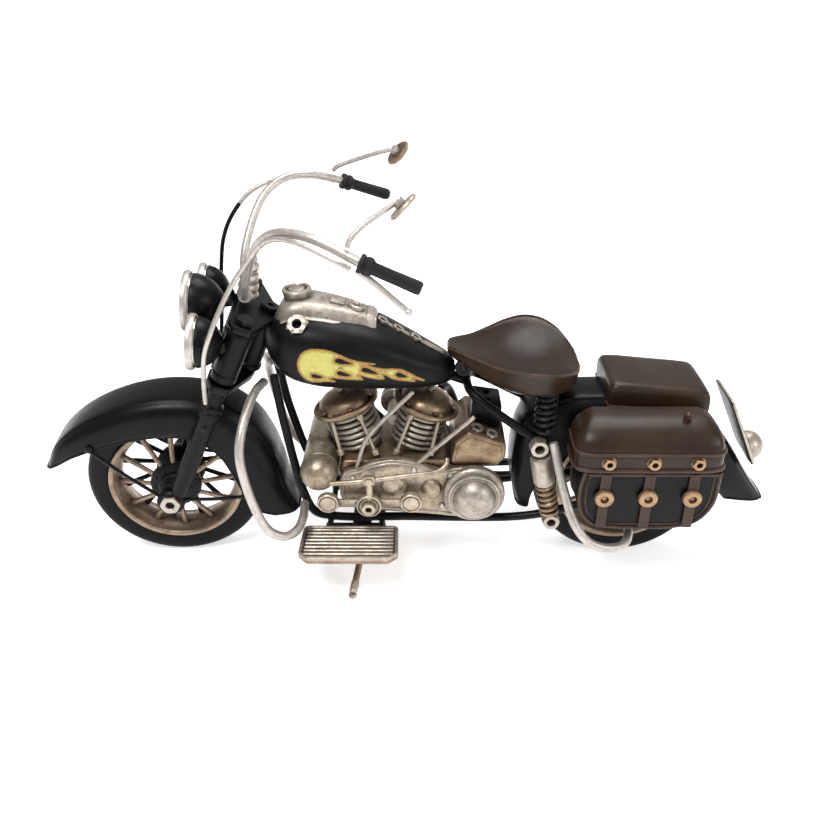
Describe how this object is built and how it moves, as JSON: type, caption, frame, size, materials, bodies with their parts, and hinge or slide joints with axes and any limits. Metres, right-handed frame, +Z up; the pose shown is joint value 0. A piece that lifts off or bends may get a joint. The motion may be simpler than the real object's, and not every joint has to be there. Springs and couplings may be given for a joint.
{
  "type": "tin motorcycle model",
  "caption": "Handmade tin-plate model of a cruiser motorcycle with turning wheels, steering front end, flame-painted tank, saddlebag and folding kickstand.",
  "frame": {"origin": "middle of the bounding box's footprint, on the ground plane", "axes": "+X towards the rear of the motorcycle (front wheel toward -X), +Y towards the rider's right, +Z up"},
  "size_m": [0.365, 0.1342, 0.2029],
  "materials": {
    "black_paint": "satin black lacquer with rubbed edges",
    "aged_silver": "antiqued silver with brown patina",
    "aged_bronze": "antiqued bronze with rubbed highlights",
    "brown_paint": "dark brown lacquer with rubbed rim, leather look",
    "tyre_black": "satin black",
    "grip_black": "matte black"
  },
  "bodies": {
    "frame": {"main_frame": "black_paint", "left_cradle_tube": "black_paint", "right_cradle_tube": "black_paint", "rear_axle": "aged_silver", "fuel_tank": "black_paint", "dash_panel": "aged_silver", "crankcase": "aged_bronze", "front_cylinder": "aged_bronze", "rear_cylinder": "aged_bronze", "timing_cylinder": "aged_bronze", "primary_cover": "aged_bronze", "shift_linkage": "aged_silver", "oil_tank": "aged_bronze", "battery_box": "black_paint", "carburettor": "aged_silver", "exhaust_pipes": "black_paint", "left_footboard": "aged_silver", "right_footboard": "aged_silver", "footboard_carrier": "black_paint", "left_front_crash_bar": "aged_silver", "right_front_crash_bar": "aged_silver", "left_rear_crash_bar": "aged_silver", "right_rear_crash_bar": "aged_silver", "left_shock": "aged_silver", "right_shock": "aged_silver", "seat": "brown_paint", "left_seat_spring": "black_paint", "right_seat_spring": "black_paint", "seat_pivot": "black_paint", "rear_fender": "black_paint", "pillion_pad": "brown_paint", "saddlebag_body": "black_paint", "saddlebag_lid": "brown_paint", "saddlebag_straps": "aged_bronze", "number_plate": "aged_silver", "tail_light": "aged_silver"},
    "front_end": {"left_fork_leg": "black_paint", "right_fork_leg": "black_paint", "lower_fork_clamp": "black_paint", "upper_fork_clamp": "black_paint", "front_axle": "aged_silver", "handlebar": "aged_silver", "left_grip": "grip_black", "right_grip": "grip_black", "clutch_lever": "aged_silver", "left_control_cable": "aged_silver", "right_control_cable": "black_paint", "left_mirror": "aged_bronze", "right_mirror": "aged_bronze", "headlight": "black_paint", "left_spot_lamp": "black_paint", "right_spot_lamp": "black_paint", "front_fender": "black_paint"},
    "front_wheel": {"front_tyre": "tyre_black", "front_rim": "aged_bronze", "front_spokes": "aged_bronze"},
    "rear_wheel": {"rear_tyre": "tyre_black", "rear_rim": "aged_bronze", "rear_spokes": "aged_bronze"},
    "kickstand": {"kickstand": "aged_bronze"}
  },
  "joints": [
    {"name": "steering", "type": "hinge", "parent": "frame", "child": "front_end", "pos_m": [-0.07146, -0.00312, 0.125], "axis": [0.4147, 0, 0.91], "range_deg": [-25, 15]},
    {"name": "front_wheel_spin", "type": "hinge", "parent": "front_end", "child": "front_wheel", "pos_m": [-0.12112, -0.00417, 0.04499], "axis": [-0.0793, 0.9962, 0.0361], "continuous": true},
    {"name": "rear_wheel_spin", "type": "hinge", "parent": "frame", "child": "rear_wheel", "pos_m": [0.10844, -0.00312, 0.04483], "axis": [0, 1, 0], "continuous": true},
    {"name": "kickstand_fold", "type": "hinge", "parent": "frame", "child": "kickstand", "pos_m": [-0.02356, -0.02172, 0.0176], "axis": [0, -0.5408, 0.8412], "range_deg": [0, 75]}
  ]
}
